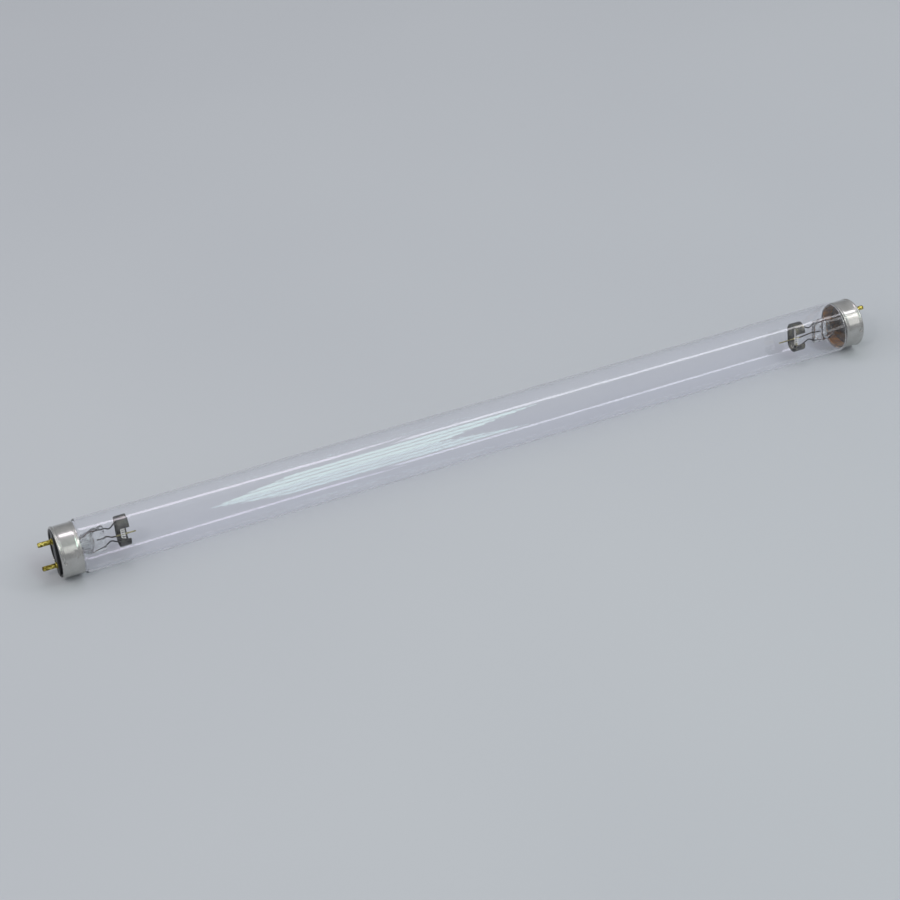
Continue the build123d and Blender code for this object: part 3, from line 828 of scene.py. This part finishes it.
def stem_skin(side):
    """Rings from the bubble's closed end out to the brim and back along the outside to the press's end."""
    wall = GLASS_WALL
    rings = []
    wide, thick = stem_outside(BUBBLE_CLOSING)
    dome = 10
    for step in range(dome):
        angle = pi / 2 * step / dome
        depth = BUBBLE_CLOSING + (BUBBLE_END - BUBBLE_CLOSING) * cos(angle)
        s = sin(angle)
        rings.append(stem_ring(side, depth, (wide - wall) * s, (thick - wall) * s, BORE_SQUARE))
    steps = 24
    for step in range(steps + 1):
        share = step / steps
        depth = BUBBLE_CLOSING + (ROUND_END - BUBBLE_CLOSING) * share
        wide, thick = stem_outside(depth)
        square = BORE_SQUARE + (ROUND - BORE_SQUARE) * share
        rings.append(stem_ring(side, depth, wide - wall, thick - wall, square, melt=0.2))
    rings += flare_rings(side, STEM_R - wall, FLARE_R + wall / 2, melt=0.06)
    for radius, depth in ((BRIM_R - 0.1, 0.0), (BRIM_R, 0.1), (BRIM_R, wall - 0.1), (BRIM_R - 0.1, wall)):
        rings.append(stem_ring(side, BRIM_DEPTH + depth, radius, radius))
    rings += flare_rings(side, STEM_R, FLARE_R - wall / 2, melt=0.1)[::-1]
    steps = 72
    body_end = PRESS_END - PRESS_ROUND
    for step in range(1, steps + 1):
        share = step / steps
        depth = ROUND_END + (body_end - ROUND_END) * share
        wide, thick = stem_outside(depth)
        roll = 1 + 0.06 * sin(9 * share) * ease(2 * share - 1)
        melt = 0.4 * ease(3 * share) + 0.4 * ease((depth - BUBBLE_END) / 2.5)
        square = ROUND + (PRESS_SQUARE - ROUND) * ease(1.6 * share)
        rings.append(stem_ring(side, depth, wide, thick * roll, square, melt))
    steps = 7
    for step in range(1, steps + 1):
        angle = pi / 2 * step / steps
        pull = PRESS_ROUND * (1 - cos(angle))
        depth = body_end + PRESS_ROUND * sin(angle)
        wide, thick = PRESS_WIDTH / 2 - pull, PRESS_THICK / 2 - pull
        rings.append(stem_ring(side, depth, wide, thick, PRESS_SQUARE, melt=0.8))
    rings.append(stem_ring(side, PRESS_END, 0, 0))
    return rings


def make_stem(side, material):
    """Flared stem in one skin, squeezed flat round the wires, with the pumping port through its side."""
    name = f"{side}_flared_stem"
    stem = add_object(name, rings_mesh(name, stem_skin(side), Matrix()))
    port = [(-PORT_R, 0), (-PORT_R, PORT_R), (PORT_REACH, PORT_R), (PORT_REACH, 0)]
    turn = Matrix.Translation((BORE_END, 0, 0)) @ Matrix.Rotation(PORT_ANGLE, 4, "Z")
    cutter = add_object("port", turned_mesh("port", port, turn, around=28, closed=False))
    cut = stem.modifiers.new("port", "BOOLEAN")
    cut.operation, cut.solver, cut.object = "DIFFERENCE", "EXACT", cutter
    mesh = mesh_of(stem, name)
    bpy.data.meshes.remove(cutter.data)
    mesh.transform(end_place(side))
    add_piece(mesh, material, "stem_glass", f"{side}_stem")


def make_pumping_tube(side, material):
    """Tube on the stem's axis: a closed drop behind the insulator, and a mouth that opens into the bubble."""
    shank = PUMP_TIP_DEPTH + PUMP_TIP_TAPER
    bore = PUMP_R - PUMP_WALL
    mouth, narrow = BUBBLE_DEPTH + MOUTH_PAST_BUBBLE, BUBBLE_DEPTH - MOUTH_RUN
    outline = [(PUMP_TIP_DEPTH + behind, radius) for behind, radius in PUMP_DROP] + [(shank, PUMP_R)]
    outline += curve_between((narrow, PUMP_R), (mouth, PUMP_R + MOUTH_FLARE))
    outline += [(mouth, PUMP_R + MOUTH_FLARE), (mouth, bore + MOUTH_FLARE)]
    outline += curve_between((mouth - 0.1, bore + MOUTH_FLARE), (narrow, bore))
    dome = ((0, 1), (0.25, 0.8), (0.45, 0.4), (0.5, 0))
    outline += [(shank - bore * back, bore * wide) for back, wide in dome]
    mesh = turned_mesh(f"{side}_pumping_tube", outline, end_place(side), around=64, closed=False)
    add_piece(mesh, material, "stem_glass", f"{side}_pump_tube")


def press_point(side, up, depth):
    """Point of a lead inside the press, where it runs straight from foot to end."""
    share = (depth - PRESS_FOOT) / (PRESS_END - PRESS_FOOT)
    spread_here = LEAD_AT_PRESS_FOOT + share * (LEAD_AT_PRESS_END - LEAD_AT_PRESS_FOOT)
    return (depth, 0, up * spread_here / 2 + lean(side, depth))


def make_outer_lead(side, name, up, tree, material):
    """Copper lead from the pin's tip through the stem's bore into the press."""
    points = [
        (-PIN_LENGTH + PIN_TIP_WALL, 0, up * PIN_SPACING / 2),
        (INSULATOR_BACK + LEAD_STRAIGHT, 0, up * PIN_SPACING / 2),
        (ROUND_END - FLARE_R / 2, 0, up * LEAD_IN_BORE / 2),
        (ROUND_END, 0, up * LEAD_IN_BORE / 2),
        (BORE_END, 0, up * LEAD_AT_BORE_END / 2 + lean(side, BORE_END)),
        (PRESS_FOOT, 0, up * LEAD_AT_PRESS_FOOT / 2 + lean(side, PRESS_FOOT)),
        press_point(side, up, WELD_DEPTH),
    ]
    inputs = {"Radius": OUTER_LEAD_D / 2, "Bend": OUTER_LEAD_BEND, "Finish": material}
    mesh = grown_mesh(f"{side}_{name}_copper_lead", tree, inputs, end_place(side), points)
    add_piece(mesh, material, "copper_lead", f"{side}_{name}_outer_lead")


def make_inner_lead(side, name, up, tree, material):
    """Nickelled lead, bowed in at its waist, with its end folded round the filament's leg."""
    clamp_z = up * CLAMP_MIDDLE + mount_rise(side)
    waist_z = up * LEAD_AT_WAIST / 2 + lean(side, WAIST_DEPTH)
    leg_depth = guard_middle(side) + COIL_D / 2
    points = [
        press_point(side, up, WELD_DEPTH),
        press_point(side, up, PRESS_END + 0.5),
        (WAIST_DEPTH - 0.4, 0, waist_z),
        (WAIST_DEPTH + 0.6, 0, waist_z),
        (guard_middle(side) - GUARD_WIDTH / 2, 0, clamp_z),
        (leg_depth, 0, clamp_z),
    ]
    inputs = {"Radius": INNER_LEAD_D / 2, "Bend": WIRE_BEND, "Finish": material}
    wire = grown_mesh("wire", tree, inputs, end_place(side), points)
    half = CLAMP_LENGTH / 2
    fold = rounded([(-half, LEG_D / 2), (-half, CLAMP_R, CLAMP_ROUND), (half, CLAMP_R, CLAMP_ROUND),
                    (half, LEG_D / 2)], steps=4)
    stand = Matrix.Translation((leg_depth, 0, clamp_z)) @ Matrix.Rotation(-pi / 2, 4, "Y")

    def pinched(depth, angle, radius):
        return depth, radius * (1 - CLAMP_PINCH * cos(angle) ** 2 if radius > LEG_D else 1.0)

    clamp = turned_mesh("clamp", fold, end_place(side) @ stand, around=40, shaped=pinched)
    mesh = joined(f"{side}_{name}_nickel_lead", wire, clamp)
    add_piece(mesh, material, "nickel_lead", f"{side}_{name}_inner_lead")


def make_centre_wire(side, tree, material):
    """Wire from the press's middle to the band, along its closed side and on past it."""
    seat_y, seat_z = wire_seat(side)
    guard_start = guard_middle(side) - GUARD_WIDTH / 2
    points = [
        (WELD_DEPTH, 0, lean(side, WELD_DEPTH)),
        (PRESS_END + SUPPORT_BEND / 2, 0, lean(side, PRESS_END)),
        (guard_start - SUPPORT_BEND, seat_y, seat_z),
        (guard_start + GUARD_WIDTH + WIRE_PAST_GUARD[side], seat_y, seat_z),
    ]
    inputs = {"Radius": SUPPORT_D / 2, "Bend": WIRE_BEND, "Finish": material}
    mesh = grown_mesh(f"{side}_centre_wire", tree, inputs, end_place(side), points)
    add_piece(mesh, material, "support_wire", f"{side}_support_wire")


def guard_path():
    """Middle line of the band's sheet as (along the pin line, across it), from hem to hem, open at +."""
    across = (GUARD_SHORT - GUARD_SHEET) / 2
    along = (GUARD_LONG - GUARD_SHEET) / 2
    hem = (GUARD_GAP + GUARD_SHEET) / 2
    hem_end = GUARD_SHORT / 2 - GUARD_HEM
    bend = across - 0.001  # the two bends nearly meet, and the band's end is a half circle
    half = [(hem, hem_end), (hem, across, HEM_BEND), (along, across, bend), (along, -across, bend)]
    mirrored = [(-corner[0], *corner[1:]) for corner in reversed(half)]
    return spaced(rounded(half + mirrored, steps=22), step=0.35)


def make_guard_band(side, material):
    """Oval band rolled from thin strip, slightly uneven, with the two weld marks of the centre wire."""
    path = guard_path()
    rows = [GUARD_WIDTH * i / 16 for i in range(17)]
    start = guard_middle(side) - GUARD_WIDTH / 2
    seat_y, seat_z = wire_seat(side)
    rings = []
    for index, (along, across) in enumerate(path):
        before, after = path[max(0, index - 1)], path[min(len(path) - 1, index + 1)]
        ahead = (Vector(after) - Vector(before)).normalized()
        out = Vector((-ahead.y, ahead.x))
        ring = []
        for face, depths in ((1, rows), (-1, rows[::-1])):
            for depth in depths:
                y, z = OPEN_SIDE[side] * across, along
                sway = BAND_SWAY * unevenness((depth, y, z), BAND_SWAY_SIZE, SEED[side])
                for weld in (WELD_FROM_EDGE, GUARD_WIDTH - WELD_FROM_EDGE):
                    away = hypot(depth - weld, z + mount_rise(side) - seat_z) / WELD_WIDE
                    if y * seat_y > 0:
                        sway -= WELD_DEEP * exp(-away ** 2) * (face == 1)
                move = out * (face * GUARD_SHEET / 2 + sway)
                ring.append((start + depth, y + OPEN_SIDE[side] * move.y, z + move.x + mount_rise(side)))
        rings.append(ring)
    mesh = rings_mesh(f"{side}_guard_band", rings, end_place(side), capped=True)
    add_piece(mesh, material, "guard_band", f"{side}_guard")


def make_filament(side, tree, material):
    """Coated coil across the guard."""
    inputs = {
        "Turns": float(COIL_TURNS), "Pitch": COIL_PITCH, "Coil Radius": COIL_D / 2, "Core Radius": CORE_D / 2,
        "Fine Radius": FINE_WIRE_D / 2, "Fine Turns": float(FINE_WIRE_TURNS),
        "Winding Radius": WINDING_D / 2, "Leg Radius": (LEG_D - FIT) / 2,
        "Leg Length": COIL_LEG + CLAMP_LENGTH, "Finish": material,
    }
    middle = (guard_middle(side), 0, mount_rise(side) - COIL_HEIGHT / 2)
    mesh = grown_mesh(f"{side}_coated_coil", tree, inputs, end_place(side) @ Matrix.Translation(middle))
    add_piece(mesh, material, "coated_filament", f"{side}_filament")


def make_end(side, finish, wire_tree, coil_tree):
    """Every piece of one end; the insulator keeps its solid and gets its finish."""
    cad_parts[f"{side}_insulator"].material_slots[0].material = finish["phenolic"]
    make_cap(side, finish["aluminium"])
    make_guard_band(side, finish["strip"])
    make_cement(side, finish["cement"])
    make_stem(side, finish["stem"])
    make_pumping_tube(side, finish["stem"])
    make_centre_wire(side, wire_tree, finish["support"])
    make_filament(side, coil_tree, finish["emitter"])
    for name, up in (("upper", 1), ("lower", -1)):
        make_pin(side, name, up, finish["brass"])
        make_outer_lead(side, name, up, wire_tree, finish["copper"])
        make_inner_lead(side, name, up, wire_tree, finish["nickel"])


# Floor, light and camera

FLOOR_SIZE = 24.0
CAMERA_PLACE = (-0.3535, -0.7367, 0.6555)
CAMERA_YAW = radians(24.572)
CAMERA_PITCH = radians(38.731)
CAMERA_ROLL = radians(-0.378)
CAMERA_FOCUS = 2086.3  # in pixels
PICTURE_WIDTH = 900
SENSOR = 36.0
AXIS_HEIGHT = GLASS_R * MM

# Bank of strips that streaks the middle of the tube; only every third strip has a gap beside it
BANK_STRIPS = 9
BANK_REACH = 1.5
BANK_LOW = 41.5
BANK_BAND = 4.7
BANK_GAP = 2.6
BANK_START, BANK_START_SHIFT = 0.191, 0.095
BANK_END, BANK_END_SHIFT = 0.496, 0.12


def make_floor():
    """Plain pale matt floor."""
    material, tree, lumps = start_material("pale_matt_board")
    cloud = lumps(400.0, 2.0)
    grain = lumps(0.8, 2.0)
    stops = ((0.3, "#B9BBC0"), (0.7, "#BEC0C4"))
    board = patterned(tree, (cloud, stops), (grain, 0.8, 0.95), constants={"Specular IOR Level": 0.2})
    half = FLOOR_SIZE / 2
    mesh = bpy.data.meshes.new("floor")
    corners = [(-half, -half, 0), (half, -half, 0), (half, half, 0), (-half, half, 0)]
    mesh.from_pydata(corners, [], [(0, 1, 2, 3)])
    mesh.materials.append(finish_with(material, tree, board))
    floor = add_object("floor", mesh)


def make_world():
    """Pale surroundings, a little brighter overhead than at the horizon."""
    world = bpy.data.worlds.new("studio")
    bpy.context.scene.world = world
    world.use_nodes = True
    tree = world.node_tree
    tree.nodes.clear()
    direction = add_node(tree, "ShaderNodeTexCoord").outputs["Generated"]
    way = add_node(tree, "ShaderNodeSeparateXYZ", links={0: direction})
    sky = add_node(tree, "ShaderNodeValToRGB", links={"Fac": way.outputs["Z"]},
                   stops=((0.0, "#A6A8AC"), (0.35, "#AEB0B4"), (1.0, "#CFD1D4")))
    light = add_node(tree, "ShaderNodeBackground", values={"Strength": 1.0}, links={"Color": sky})
    add_node(tree, "ShaderNodeOutputWorld", links={"Surface": light})


def add_lamp(name, start, end, width, radiance, tint, aim=None):
    """Softbox from one point to another with this radiance, turned to the tube's axis or to a point."""
    start, end = Vector(start), Vector(end)
    middle = (start + end) / 2
    data = bpy.data.lights.new(name, "AREA")
    data.shape = "RECTANGLE"
    data.size, data.size_y = (end - start).length, width
    data.energy = radiance * pi * data.size * width
    data.color = colour(tint)[:3]
    side = (end - start).normalized()
    back = middle - Vector(aim or (middle.x, 0, AXIS_HEIGHT))
    back = (back - side * back.dot(side)).normalized()
    turn = Matrix((side, back.cross(side), back)).transposed().to_4x4()
    add_object(name, data).matrix_world = Matrix.Translation(middle) @ turn


def around_axis(along, reach, angle):
    """Point at a distance from the tube's axis and an angle in degrees above the near horizon."""
    turn = radians(angle)
    return along, -reach * cos(turn), AXIS_HEIGHT + reach * sin(turn)


def make_lamps():
    """Softboxes overhead and at the caps, a mint bank behind the camera, a panel at the left and two keys."""
    add_lamp("overhead_left", around_axis(-0.2, 1.2, 113), around_axis(0.31, 1.2, 102), 0.19, 3.7, "#F8EEFA")
    add_lamp("overhead_right", around_axis(0.335, 1.2, 93), around_axis(1.0, 1.2, 87.5), 0.19, 3.7, "#F4F2F8")
    for index in range(BANK_STRIPS):
        tall = BANK_BAND - (BANK_GAP if index % 3 == 2 else 0.0)
        angle = BANK_LOW + BANK_BAND * index + tall / 2
        share = index / (BANK_STRIPS - 1)
        start = around_axis(BANK_START + BANK_START_SHIFT * share, BANK_REACH, angle)
        end = around_axis(BANK_END + BANK_END_SHIFT * share, BANK_REACH, angle)
        add_lamp(f"bank_{index}", start, end, radians(tall) * BANK_REACH, 3.9, "#CFF0E4")
    add_lamp("at_left_cap", around_axis(-0.17, 1.2, 40), around_axis(-0.04, 1.2, 40), 0.6, 1.2, "#FFFFFF")
    add_lamp("at_right_cap", around_axis(0.91, 1.2, 50), around_axis(1.2, 1.2, 50), 1.2, 1.35, "#FFFFFF")
    left_cap = (-FACE * MM, 0, AXIS_HEIGHT)
    add_lamp("left_panel", (-1.3, -0.8, 0.88), (-1.3, 0.95, 0.88), 0.5, 1.7, "#FFFFFF", aim=left_cap)
    add_lamp("key_left", around_axis(-0.76, 1.1, 62), around_axis(-0.66, 1.1, 62), 0.1, 50.0, "#FFFBF4")
    add_lamp("key_right", around_axis(1.1, 1.3, 66), around_axis(1.2, 1.3, 66), 0.1, 50.0, "#FFFBF4")


def make_camera():
    """Camera at the photograph's place, found by fitting the caps, rims and edges of the tube."""
    data = bpy.data.cameras.new("camera")
    data.sensor_width = SENSOR
    data.lens = CAMERA_FOCUS * SENSOR / PICTURE_WIDTH
    data.clip_start, data.clip_end = 0.01, 100
    camera = add_object("camera", data)
    ahead = Vector((sin(CAMERA_YAW) * cos(CAMERA_PITCH),
                    cos(CAMERA_YAW) * cos(CAMERA_PITCH), -sin(CAMERA_PITCH)))
    level = Vector((cos(CAMERA_YAW), -sin(CAMERA_YAW), 0))
    upright = level.cross(ahead)
    c, s = cos(CAMERA_ROLL), sin(CAMERA_ROLL)
    right, up = c * level + s * upright, c * upright - s * level
    camera.matrix_world = Matrix.Translation(CAMERA_PLACE) @ Matrix((right, up, -ahead)).transposed().to_4x4()
    bpy.context.scene.camera = camera


def main():
    make_camera()
    make_floor()
    make_world()
    make_lamps()
    bpy.context.scene.view_settings.view_transform = "Standard"
    finish = {
        "aluminium": drawn_aluminium(),
        "phenolic": moulded_phenolic(),
        "brass": tarnished_brass(),
        "cement": baked_cement(),
        "stem": flame_pressed_glass(),
        "strip": plated_strip(),
        "emitter": emitter_coat(),
        "copper": wire_metal("oxidised_copper", "#2B1B15", "#5E3B2C"),
        "nickel": wire_metal("dull_nickel", "#1F1F21", "#3C3C3E"),
        "support": flame_tinted_wire(),
    }
    make_clear_tube(drawn_tube_glass())
    wire_tree = bent_wire_tree()
    coil_tree = coated_coil_tree()
    for side in ("left", "right"):
        make_end(side, finish, wire_tree, coil_tree)


main()
